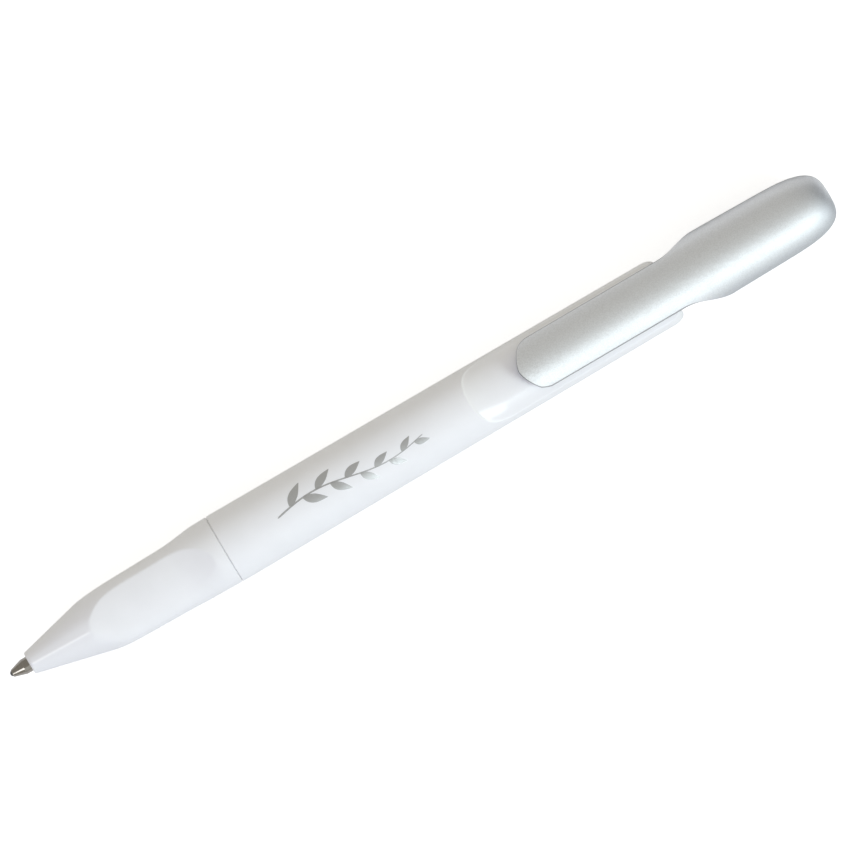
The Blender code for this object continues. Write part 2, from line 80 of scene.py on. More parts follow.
Socket = bpy.types.NodeSocket
Source = Socket | float | tuple

LOG = logging.getLogger("pen")
MM = 0.001
# Steps of a turn around the pen
AROUND = 288
# Points that agree to this length are one vertex
WELD_STEP = 1e-6
# Edges that bend by more degrees stay sharp
SHARP_ANGLE = 34.0
# Mesh attribute that tells where a finish differs: polish on the barrel's recess, a painted highlight on the
# grip's ridges and painted shade on the clip's edge
MARK = "mark"
# Angle from the middle of a flat cut past which its floor rises steeply, and that slope
NEAR = 1.4
FAR_SLOPE = 9.0
# Values of a noise between which a colour changes its tone
TONE_RANGE = (0.3, 0.7)


class Body(Enum):
    """The pen's rigid bodies."""

    CASING = "pen_body"
    BUTTON = "button"
    REFILL = "refill"
    BALL = "writing_ball"


class Slot(Enum):
    """Names of material slots, one kept with each new piece; nothing in this script reads them."""

    WHITE = "white_plastic"
    SILVER = "silver_plastic"
    NICKEL = "nickel_silver"
    STEEL = "steel"


class Reach(Enum):
    """Which of a surface's light a lamp gives: the scattered or the mirrored."""

    SCATTERED = "scattered"
    MIRRORED = "mirrored"


class Finish(Protocol):
    """Anything that can make a material."""

    name: str

    def material(self) -> bpy.types.Material:
        """The finished material."""


@functools.cache
def material_of(finish: Finish) -> bpy.types.Material:
    """The material of a finish, made once."""
    return finish.material()


@functools.cache
def pen_origin() -> Point:
    """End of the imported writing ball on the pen's axis, in metres in the row frame, read once."""
    low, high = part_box("ball")
    return (low.x, 0.0, (low.z + high.z) / 2)


def placed(points: Array) -> Array:
    """Turn millimetres from the tip and the axis into metres in the row frame."""
    return points * MM + np.array(pen_origin())


def rgba(colour: Colour, factor: float = 1.0) -> tuple[float, float, float, float]:
    """A colour made lighter or darker by a factor, with full cover."""
    return (*(min(1.0, part * factor) for part in colour), 1.0)


class MaterialSheet:
    """A material with a Principled shader and short ways to add nodes to it."""

    def __init__(self, name: str) -> None:
        """Start a material.

        Args:
            name: its name.
        """
        self.material = bpy.data.materials.new(name)
        self.material.use_nodes = True
        self.tree = self.material.node_tree
        self.shader = self.tree.nodes["Principled BSDF"]

    def feed(self, socket: Socket, source: Source) -> None:
        """Join an output to an input, or set a constant on the input itself.

        Args:
            socket: the input.
            source: an output of another node, or a constant.
        """
        if isinstance(source, Socket):
            self.tree.links.new(source, socket)
        else:
            socket.default_value = source

    def shade(self, name: str, source: Source) -> None:
        """Give one of the shader's inputs its source."""
        self.feed(self.shader.inputs[name], source)

    def taken(self, name: str) -> Socket:
        """The output that one of the shader's inputs takes so far."""
        return self.shader.inputs[name].links[0].from_socket

    def node(
        self, kind: str, inputs: dict[str | int, Source] | None = None, **settings: str
    ) -> bpy.types.Node:
        """Add a node.

        Args:
            kind: its type, without the first word that all shader nodes share.
            inputs: sources of its inputs, by name or place.
            settings: its own properties.

        Returns:
            The node.
        """
        node = self.tree.nodes.new(f"ShaderNode{kind}")
        for name, value in settings.items():
            setattr(node, name, value)
        for key, source in (inputs or {}).items():
            self.feed(node.inputs[key], source)
        return node

    def math(self, operation: str, *terms: Source) -> Socket:
        """Result of an operation on numbers."""
        return self.node("Math", dict(enumerate(terms)), operation=operation).outputs[0]

    def vector(self, operation: str, *terms: Source) -> Socket:
        """Result of an operation on vectors."""
        return self.node("VectorMath", dict(enumerate(terms)), operation=operation).outputs[0]

    def place(self) -> Socket:
        """Place on the piece, in metres."""
        return self.node("TexCoord").outputs["Object"]

    def noise(self, grain: float, detail: float = 2.0, stretch: Point = (1.0, 1.0, 1.0)) -> Socket:
        """A noise with spots of a grain in millimetres, its frequency stretched along each axis."""
        stretched = self.vector("MULTIPLY", self.place(), tuple(part / (grain * MM) for part in stretch))
        return self.node("TexNoise", {"Vector": stretched, "Scale": 1.0, "Detail": detail}).outputs["Fac"]

    def tones(self, value: Socket, colour: Colour, factors: Pair) -> None:
        """Let the base colour run between two tones of a colour.

        Args:
            value: what decides the tone, over TONE_RANGE.
            colour: linear colour.
            factors: factors on the colour, one for each tone.
        """
        ramp = self.node("ValToRGB", {"Fac": value})
        for element, place, factor in zip(ramp.color_ramp.elements, TONE_RANGE, factors):
            element.position = place
            element.color = rgba(colour, factor)
        self.shade("Base Color", ramp.outputs["Color"])

    def roughness(self, value: Socket, middle: float, spread: Pair) -> None:
        """Let the roughness run around its middle by a value from 0 to 1."""
        inputs = {"Value": value, "To Min": middle + spread[0], "To Max": middle + spread[1]}
        self.shade("Roughness", self.node("MapRange", inputs).outputs["Result"])

    def mark(self) -> Socket:
        """The mesh's mark: 1 where the finish differs, 0 elsewhere."""
        return self.node("Attribute", attribute_name=MARK).outputs["Fac"]

    def polish(self, amount: float) -> None:
        """Lower the roughness by an amount where the mesh is marked."""
        lower = self.math("MULTIPLY_ADD", self.mark(), -amount, self.taken("Roughness"))
        self.shade("Roughness", lower)

    def recolour(self, colour: Colour, factor: float) -> None:
        """Mix another tone of a colour into the base colour where the mesh is marked: painted shade on the
        clip's edge and a painted highlight on the grip's ridges.
        """
        inputs = {"Factor": self.mark(), "A": self.taken("Base Color"), "B": rgba(colour, factor)}
        self.shade("Base Color", self.node("Mix", inputs, data_type="RGBA").outputs["Result"])

    def bump(self, value: Socket, depth: float) -> None:
        """Raise the surface by a value from 0 to 1, where 1 is a depth in millimetres."""
        inputs = {"Strength": 1.0, "Distance": depth * MM, "Height": value}
        self.shade("Normal", self.node("Bump", inputs).outputs["Normal"])


@dataclass(frozen=True)
class MouldedPlastic:
    """Injection-moulded plastic: faint clouding, a fine satin grain and a soft sheen.

    The grain moves the roughness by spread around gloss, and tones are factors on the colour in the
    clouding. Where the piece is marked, polish lowers the roughness, and a factor on the colour
    lightens it as a painted highlight, as along the grip's ridge lines.
    """

    name: str
    colour: Colour
    gloss: float = 0.42
    spread: Pair = (-0.07, 0.07)
    cloud: float = 4.0
    tones: Pair = (0.985, 1.012)
    grain: float = 0.25
    depth: float = 0.0012
    ior: float = 1.5
    clear: float = 0.0
    polish: float = 0.0
    # Factor on the colour where the piece is marked: a painted highlight
    painted_highlight: float = 1.0

    def material(self) -> bpy.types.Material:
        """The finished material."""
        sheet = MaterialSheet(self.name)
        sheet.tones(sheet.noise(self.cloud, detail=3.0), self.colour, self.tones)
        # Painted highlight: the colour lightens where the mesh is marked
        if self.painted_highlight != 1.0:
            sheet.recolour(self.colour, self.painted_highlight)
        grain = sheet.noise(self.grain)
        sheet.roughness(grain, self.gloss, self.spread)
        if self.polish:
            sheet.polish(self.polish)
        sheet.bump(grain, self.depth)
        sheet.shade("IOR", self.ior)
        sheet.shade("Transmission Weight", self.clear)
        return sheet.material


@dataclass(frozen=True)
class MetallicLacquer:
    """Silver lacquer: fine flakes that lie at slightly different tilts under a satin surface.

    The flakes mirror a share metal of the light, and tones are factors on the colour from flake to
    flake. Where the piece is marked, a factor darkens the colour as painted shade, which stands for
    the dark line of the gap's shadow along the clip's edge.
    """

    name: str
    colour: Colour
    metal: float = 0.95
    gloss: float = 0.6
    spread: Pair = (-0.04, 0.04)
    flake: float = 0.09
    tones: Pair = (0.95, 1.05)
    tilt: float = 0.14
    # Factor on the colour where the piece is marked: painted shade along the clip's edge
    painted_edge_shade: float = 0.5

    def material(self) -> bpy.types.Material:
        """The finished material."""
        sheet = MaterialSheet(self.name)
        inputs = {"Vector": sheet.place(), "Scale": 1 / (self.flake * MM)}
        flakes = sheet.node("TexVoronoi", inputs).outputs["Color"]
        red = sheet.node("SeparateColor", {"Color": flakes}).outputs["Red"]
        sheet.tones(red, self.colour, self.tones)
        # Painted shade: the colour darkens where the mesh is marked, along the clip's edge
        sheet.recolour(self.colour, self.painted_edge_shade)
        sheet.roughness(sheet.noise(self.flake * 2), self.gloss, self.spread)
        centred = sheet.vector("SUBTRACT", flakes, (0.5, 0.5, 0.5))
        upright = sheet.node("NewGeometry").outputs["Normal"]
        leaning = sheet.vector("MULTIPLY_ADD", centred, (self.tilt,) * 3, upright)
        sheet.shade("Normal", sheet.vector("NORMALIZE", leaning))
        sheet.shade("Metallic", self.metal)
        return sheet.material


@dataclass(frozen=True)
class TurnedMetal:
    """Metal from the lathe: fine rings, drawn out around the pen, that change tone and roughness."""

    name: str
    colour: Colour
    gloss: float = 0.2
    spread: Pair = (-0.05, 0.07)
    ring: float = 0.05
    drawn: float = 0.02
    tones: Pair = (0.85, 1.12)
    depth: float = 0.0006

    def material(self) -> bpy.types.Material:
        """The finished material."""
        sheet = MaterialSheet(self.name)
        rings = sheet.noise(self.ring, stretch=(1.0, self.drawn, self.drawn))
        sheet.tones(rings, self.colour, self.tones)
        sheet.roughness(rings, self.gloss, self.spread)
        sheet.bump(rings, self.depth)
        sheet.shade("Metallic", 1.0)
        return sheet.material


WHITE: Colour = (0.86, 0.865, 0.875)
WHITE_PLASTIC = MouldedPlastic("white_satin_plastic", WHITE)
CASING_PLASTIC = MouldedPlastic("white_casing_plastic", WHITE, gloss=0.6, polish=0.41)
# The grip lightens along its marked ridge lines as a painted highlight
GRIP_PLASTIC = MouldedPlastic("white_grip_plastic", WHITE, gloss=0.6, painted_highlight=1.16)
GREY_PLASTIC = MouldedPlastic("grey_cam_plastic", (0.45, 0.46, 0.47), gloss=0.5)
MILKY_PLASTIC = MouldedPlastic("milky_tube_plastic", (0.80, 0.82, 0.82), gloss=0.25, clear=0.4)
INK_PASTE = MouldedPlastic("blue_ink_paste", (0.01, 0.02, 0.12), gloss=0.3, cloud=1.0)
# The clip's lacquer darkens along its marked edge as painted shade
SILVER_LACQUER = MetallicLacquer("silver_flake_lacquer", (0.685, 0.70, 0.725))
PRINT_SILVER = MetallicLacquer("silver_print", (0.46, 0.468, 0.478), metal=0.8, gloss=0.4, flake=0.05)
NICKEL_SILVER = TurnedMetal("turned_nickel_silver", (0.25, 0.235, 0.215), gloss=0.16)
BALL_STEEL = TurnedMetal("polished_ball_steel", (0.12, 0.12, 0.125), gloss=0.15, ring=0.2)
SPRING_STEEL = TurnedMetal("drawn_spring_steel", (0.55, 0.55, 0.55), gloss=0.25)


def mix(start: Number, end: Number, share: Number) -> Number:
    """Value at a share of the way from start to end."""
    return start + (end - start) * share


def passed(x: Array, start: float, end: float) -> Array:
    """Share of the way from start to end that x has passed, held between 0 and 1."""
    return np.clip((x - start) / (end - start), 0.0, 1.0)


def smooth_step(value: Array) -> Array:
    """Ease from 0 to 1 as the value goes from 0 to 1: three squares less two cubes."""
    held = np.clip(value, 0.0, 1.0)
    return held * held * (3.0 - 2.0 * held)


def smooth_min(first: Array, second: Array, softness: Number) -> Array:
    """The lower of two heights; where they differ by less than softness, the edge is a parabola."""
    share = np.clip(0.5 + 0.5 * (second - first) / softness, 0.0, 1.0)
    return mix(second, first, share) - softness * share * (1.0 - share)


def crown(height: Array, radius: float, angle: Array) -> Array:
    """Distance from the axis to an arc whose top is at a height above it.

    The arc's centre c is height less radius above the axis, so the distance r at an angle from the
    top solves r squared - 2 r c cos(angle) + c squared = radius squared. Past NEAR, the distance
    rises evenly.

    Args:
        height: height of the arc's top.
        radius: the arc's radius.
        angle: angle from the top.

    Returns:
        The distance at each angle.
    """
    near = np.clip(angle, -NEAR, NEAR)
    centre = height - radius
    arc = centre * np.cos(near) + np.sqrt(radius**2 - (centre * np.sin(near)) ** 2)
    return arc + FAR_SLOPE * np.abs(angle - near)


def stations(marks: tuple[float, ...], steps: tuple[int, ...]) -> Array:
    """Places from the first mark to the last, with so many even steps from each mark to the next."""
    places = [np.linspace(*stretch, endpoint=False) for stretch in zip(marks, marks[1:], steps)]
    return np.append(np.concatenate(places), marks[-1])


def quarter(steps: int) -> Array:
    """Shares from 0 to 1 that lie closer towards 1: a quarter of a sine, without its first value."""
    return np.sin(np.linspace(0.0, math.pi / 2, steps + 1)[1:])


def full_turn(steps: int = AROUND) -> Array:
    """Angles of a closed turn, the last one equal to the first."""
    return np.linspace(-math.pi, math.pi, steps + 1)


def polar(x: Array, radius: Array, angle: Array, lift: float = 0.0) -> Array:
    """Points at a distance and an angle from the top, round a line that lies lift over the axis."""
    x, radius, angle = np.broadcast_arrays(x, radius, angle)
    return np.stack((x, radius * np.sin(angle), lift + radius * np.cos(angle)), axis=-1)


def turned(outline: Outline | list[Pair], turn: Array, lift: float = 0.0) -> Array:
    """Carry an outline of (x, radius) points round a line along the pen, one row for each point."""
    points = np.array(outline, dtype=float)
    return polar(points[:, :1], points[:, 1:], turn, lift)


def rounded(x: float, r: float, edge: float, start: float, end: float, steps: int = 8) -> list[Pair]:
    """Points of an edge rounded about (x, r), between angles in degrees from +x to the outside."""
    turns = np.radians(np.linspace(start, end, steps + 1))
    return list(zip(x + edge * np.cos(turns), r + edge * np.sin(turns)))


def pole(x: float, y: float, count: int) -> Array:
    """A row of one repeated point at z = 0, which closes the end of a grid."""
    return np.tile((x, y, 0.0), (1, count, 1))


def welded_faces(patches: list[Array]) -> tuple[Array, list[list[int]], Array]:
    """Join grids of points into one surface.

    Points that coincide become one vertex, so seams and poles close. A cell with four different
    corners is a quad, and one with two equal corners a triangle.

    Args:
        patches: grids of shape (rows, columns, 3).

    Returns:
        The vertices, the faces, and the place of each vertex among the grids' points.
    """
    points = np.concatenate([patch.reshape(-1, 3) for patch in patches])
    steps = np.rint(points / WELD_STEP).astype(np.int64)
    _, first, owner = np.unique(steps, axis=0, return_index=True, return_inverse=True)
    ends = np.cumsum([patch[..., 0].size for patch in patches])
    cells = []
    for patch, part in zip(patches, np.split(owner.ravel(), ends)):
        index = part.reshape(patch.shape[:2])
        corners = (index[:-1, :-1], index[1:, :-1], index[1:, 1:], index[:-1, 1:])
        cells.append(np.stack(corners, axis=-1).reshape(-1, 4))
    cells = np.concatenate(cells)
    repeated = cells == np.roll(cells, -1, axis=1)
    pinched = repeated.sum(axis=1) == 1
    quads = cells[~repeated.any(axis=1)]
    triangles = cells[pinched][~repeated[pinched]].reshape(-1, 3)
    return points[first], quads.tolist() + triangles.tolist(), first


@dataclass(frozen=True)
class Piece:
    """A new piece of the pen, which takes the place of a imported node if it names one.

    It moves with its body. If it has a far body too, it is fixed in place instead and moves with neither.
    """

    name: str
    finish: Finish
    body: Body
    slot: Slot
    node: str = ""
    far_body: Body | None = None

    def add(
        self, patches: list[Array], marks: dict[int, Array] | None = None, stretch: Pair = (0.0, 0.0)
    ) -> None:
        """Put the piece into the scene, with its faces outwards.

        Args:
            patches: grids in millimetres, which close into one body.
            marks: by a grid's place in the list, values that tell where the finish differs.
            stretch: not used.
        """
        points, faces, first = welded_faces(patches)
        mesh = bpy.data.meshes.new(self.name)
        mesh.from_pydata(placed(points).tolist(), [], faces)
        skin = bmesh.new()
        skin.from_mesh(mesh)
        bmesh.ops.recalc_face_normals(skin, faces=skin.faces)
        skin.to_mesh(mesh)
        skin.free()
        mesh.shade_smooth()
        mesh.set_sharp_from_angle(angle=math.radians(SHARP_ANGLE))
        if marks:
            values = [marks.get(i, np.zeros(grid.shape[:2])).ravel() for i, grid in enumerate(patches)]
            attribute = mesh.attributes.new(MARK, "FLOAT", "POINT")
            attribute.data.foreach_set("value", np.concatenate(values)[first])
        mesh.materials.append(material_of(self.finish))
        piece = bpy.data.objects.new(self.name, mesh)
        bpy.context.collection.objects.link(piece)
        if self.far_body is None:
            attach(piece, self.body.value)
        else:
            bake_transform(piece)
        if self.node:
            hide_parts(self.node)
        LOG.info("%s: %d faces on %s", self.name, len(mesh.polygons), self.body.value)


@dataclass(frozen=True)
class FingerPad:
    """A finger pad: a crowned floor, nearly level, that curves out as a parabola at both ends.

    Its middle lies turn degrees from the clip and has the height floor at floor_x. Its left border is
    rounded by edge. The right one runs out into the body with soft_edge, over the angle soft_turn.
    """

    turn: float
    floor: float
    floor_x: float = 17.0
    rise: float = 0.02
    dish_x: float = 17.2
    dish: float = 0.027
    ramp_x: float = 28.0
    ramp: float = 0.029
    crown_r: float = 13.0
    edge: float = 0.09
    soft_edge: float = 0.6
    soft_turn: float = 0.5

    def cut(self, surface: Array, x: Array, angle: Array) -> Array:
        """Lower a surface to the pad where that is lower.

        The pad's middle is a slope, with a parabola past either end of it.

        Args:
            surface: distance of the surface from the axis.
            x: place along the pen.
            angle: angle from the clip.

        Returns:
            The new distance.
        """
        front = self.dish * np.maximum(0.0, self.dish_x - x) ** 2
        rear = self.ramp * np.maximum(0.0, x - self.ramp_x) ** 2
        height = self.floor + self.rise * (x - self.floor_x) + front + rear
        aside = (angle - math.radians(self.turn) + math.pi) % math.tau - math.pi
        edge = mix(self.edge, self.soft_edge, smooth_step(-aside / self.soft_turn))
        return smooth_min(surface, crown(height, self.crown_r, aside), edge)


@dataclass
class GripSection:
    """White nose cone and shoulder, with three finger pads ground into a round body.

    The inner outline runs from the seam's land round the spigot and through the bore to the mouth.
    """

    mouth_x: float = 3.3
    mouth_r: float = 1.53
    mouth_edge: float = 0.3
    cone_end_x: float = 15.4
    cone_end_r: float = 4.7
    shoulder_end_x: float = 20.5
    shoulder_end_r: float = 5.22
    seam_x: float = 36.78
    seam_r: float = 5.52
    seam_edge: float = 0.14
    inner: Outline = (
        (36.78, 5.32), (36.88, 5.32), (36.88, 4.15), (46.0, 4.15), (46.0, 2.95), (35.0, 2.95),
        (34.0, 2.45), (9.9, 2.45), (8.2, 1.3), (3.3, 1.3), (3.3, 1.53),
    )
    pads: tuple[FingerPad, ...] = (
        FingerPad(-12.5, 4.0, dish_x=22.0, dish=0.0065, ramp_x=28.6, ramp=0.0284),
        FingerPad(108.5, 4.18),
        FingerPad(228.5, 4.18),
    )
    fine_x: float = 11.0
    steps: tuple[int, int] = (23, 179)
    ridges: int = 3
    ridge_turn: float = -11.5
    ridge_bend: float = 1.9
    ridge_gain: float = 1.012
    ridge_fade_x: float = 17.5
    ridge_line: float = 0.06
    ridge_line_flank: float = 0.24
    ridge_line_back: float = 0.5
    ridge_line_end_x: float = 13.9
    # Half width of the ridge lines' mark, where the grip's colour is lightened as a painted highlight
    ridge_highlight_half: float = 0.17
    facet: float = 0.013
    facet_turn: float = 22.0
    facet_half: float = 13.0
    piece: Piece = Piece("grip_shell", GRIP_PLASTIC, Body.CASING, Slot.WHITE, "grip_section")

    def body_r(self, x: Array) -> Array:
        """Radius of the round body: a cone, a blend with matching slopes, then a slow taper.

        The blend is a cubic: a smooth step between its ends, and a term that sets the slopes there.

        Args:
            x: place along the pen.

        Returns:
            The radius.
        """
        cone_x = self.mouth_x + self.mouth_edge
        cone_r = self.mouth_r + self.mouth_edge
        cone_slope = (self.cone_end_r - cone_r) / (self.cone_end_x - cone_x)
        slope = (self.seam_r - self.shoulder_end_r) / (self.seam_x - self.shoulder_end_x)
        t = passed(x, self.cone_end_x, self.shoulder_end_x)
        lean = (self.shoulder_end_x - self.cone_end_x) * t * (1 - t) * (cone_slope * (1 - t) - slope * t)
        blend = mix(self.cone_end_r, self.shoulder_end_r, smooth_step(t)) + lean
        cone = cone_r + cone_slope * (x - cone_x)
        taper = self.shoulder_end_r + slope * (x - self.shoulder_end_x)
        return np.where(x < self.cone_end_x, cone, np.where(x > self.shoulder_end_x, taper, blend))

    def from_ridge(self, angle: Array) -> Array:
        """Angle from the middle between two ridges, which lie half a step away."""
        step = math.tau / self.ridges
        return (angle - math.radians(self.ridge_turn)) % step - step / 2

    def crest(self, x: Array, angle: Array, half: Number) -> Array:
        """Bell curve of a half width across each ridge, from 0 to 1, which ends at the pad."""
        across = (math.pi / self.ridges - np.abs(self.from_ridge(angle))) * self.body_r(x)
        return np.exp(-((across / half) ** 2)) * smooth_step(self.ridge_line_end_x - x)

    def ridge(self, x: Array, angle: Array) -> Array:
        """Factor on the nose's radius.

        The section has one flattened arc between each two pads. The arcs meet in a faint ridge in
        line with each pad, along which runs a fine raised line, a bell curve that is wide on the
        left and narrow on the right. To the left of it a low bell curve fills the arc, so a narrow
        flat lies beside the ridge.

        Args:
            x: place along the pen.
            angle: angle from the clip.

        Returns:
            The factor.
        """
        half_step = math.pi / self.ridges
        aside = self.from_ridge(angle)
        half = half_step - math.radians(self.ridge_bend)
        arc_r = math.sin(half_step) / math.sin(half)
        offset = arc_r * math.cos(half) - math.cos(half_step)
        reach = np.sqrt(arc_r**2 - (offset * np.sin(aside)) ** 2)
        arcs = self.ridge_gain * (reach - offset * np.cos(aside))
        width = np.where(aside < 0, self.ridge_line_back, self.ridge_line_flank)
        line = self.ridge_line / self.body_r(x) * self.crest(x, angle, width)
        past = (aside + half_step - math.radians(self.facet_turn)) / math.radians(self.facet_half)
        flat = self.facet * np.exp(-(past**2))
        return mix(1.0, arcs + line + flat, passed(x, self.ridge_fade_x, self.cone_end_x))

    def build(self) -> None:
        """Make the piece: mouth, outside, seam face, spigot and bore as one closed skin.

        The outside is the ridged body, lowered to each pad's crowned floor where that is lower.
        """
        edge_x = self.mouth_x + self.mouth_edge
        seam_edge_x = self.seam_x - self.seam_edge
        x = stations((edge_x, self.fine_x, seam_edge_x), self.steps)[:, None]
        turn = full_turn()
        outside = self.body_r(x) * self.ridge(x, turn)
        for pad in self.pads:
            outside = pad.cut(outside, x, turn)
        skin = polar(x, outside, turn)
        lip = rounded(edge_x, self.mouth_r, self.mouth_edge, 180, 90)[:-1]
        seam = rounded(seam_edge_x, self.seam_r - self.seam_edge, self.seam_edge, 90, 0)[1:]
        front = np.concatenate((turned(lip, turn), skin[:1]))
        back = np.concatenate((skin[-1:], turned((*seam, *self.inner), turn)))
        # The crest of each ridge line is marked, and there the colour is lightened as a painted highlight
        self.piece.add([front, skin, back], {1: self.crest(x, turn, self.ridge_highlight_half)})


@dataclass
class Barrel:
    """White tapered tube with a shallow ground recess under the clip.

    The inner outline runs from the rear face through the rod's hole and the bore to the front.
    """

    front_x: float = 36.9
    front_r: float = 5.545
    rear_x: float = 113.4
    rear_r: float = 5.22
    rear_round: float = 1.9
    seam_edge: float = 0.14
    inner: Outline = (
        (113.4, 2.95), (108.6, 2.95), (108.6, 4.05), (47.0, 4.05), (47.0, 4.35), (36.9, 4.35), (36.9, 5.405),
    )
    recess_x: float = 79.2
    recess_ramp: float = 5.0
    recess_rise: float = 1.6
    recess_depth: float = 0.75
    recess_crown_r: float = 6.2
    recess_edge: float = 0.03
    recess_step: float = 0.1
    recess_wall: float = 0.03
    fine_margin: float = 1.0
    fine_turn: float = 1.15
    steps: tuple[int, int, int] = (19, 149, 29)
    round_steps: int = 12
    turn_steps: tuple[int, int, int] = (60, 260, 60)
    piece: Piece = Piece("barrel_shell", CASING_PLASTIC, Body.CASING, Slot.WHITE, "barrel")

    def even_r(self, x: Array) -> Array:
        """Outer radius of the even taper."""
        return mix(self.front_r, self.rear_r, (x - self.front_x) / (self.rear_x - self.front_x))

    def radius(self, x: Array) -> Array:
        """Outer radius, which tapers evenly and is rounded off by an ellipse at the rear."""
        past = passed(x, self.rear_x - self.rear_round, self.rear_x)
        return self.even_r(x) - self.rear_round / 2 * (1 - np.sqrt(1 - past**2))

    def recess_top(self, x: Array) -> Array:
        """Height of the recess's middle, which falls away from the barrel's top as a parabola."""
        short = np.clip((self.recess_x + self.recess_ramp - x) / self.recess_ramp, 0.0, self.recess_rise)
        return self.even_r(x) - self.recess_depth * (1 - short**2)

    def recess(self, x: Array, angle: Array) -> Array:
        """Depth of the recess under the round barrel, where its flatter arc lies lower."""
        floor = crown(self.recess_top(x), self.recess_crown_r, angle)
        return self.radius(x) - smooth_min(self.radius(x), floor, self.recess_edge)

    def outside(self, x: Array, angle: Array) -> Array:
        """Outer radius: the round barrel less the recess, whose border is a small steep step."""
        depth = self.recess(x, angle)
        return self.radius(x) - depth - self.recess_step * (1 - np.exp(-depth / self.recess_wall))

    def build(self) -> None:
        """Make the piece: outside, rear face, rod hole, bore and socket as one closed skin.

        The rows lie closer along the recess's ramp, and the columns closer across it.
        """
        edge_x = self.front_x + self.seam_edge
        fine = (self.recess_x - self.fine_margin, self.recess_x + self.recess_ramp + self.fine_margin)
        even = stations((edge_x, *fine, self.rear_x - self.rear_round), self.steps)
        x = np.append(even, mix(even[-1], self.rear_x, quarter(self.round_steps)))[:, None]
        turn = stations((-math.pi, -self.fine_turn, self.fine_turn, math.pi), self.turn_steps)
        skin = polar(x, self.outside(x, turn), turn)
        lip = rounded(edge_x, self.front_r - self.seam_edge, self.seam_edge, 180, 90)[:-1]
        front = np.concatenate((turned(lip, turn), skin[:1]))
        back = np.concatenate((skin[-1:], turned(self.inner, turn)))
        polished = np.clip(self.recess(x, turn) / self.recess_wall, 0.0, 1.0)
        self.piece.add([skin, front, back], {0: polished})


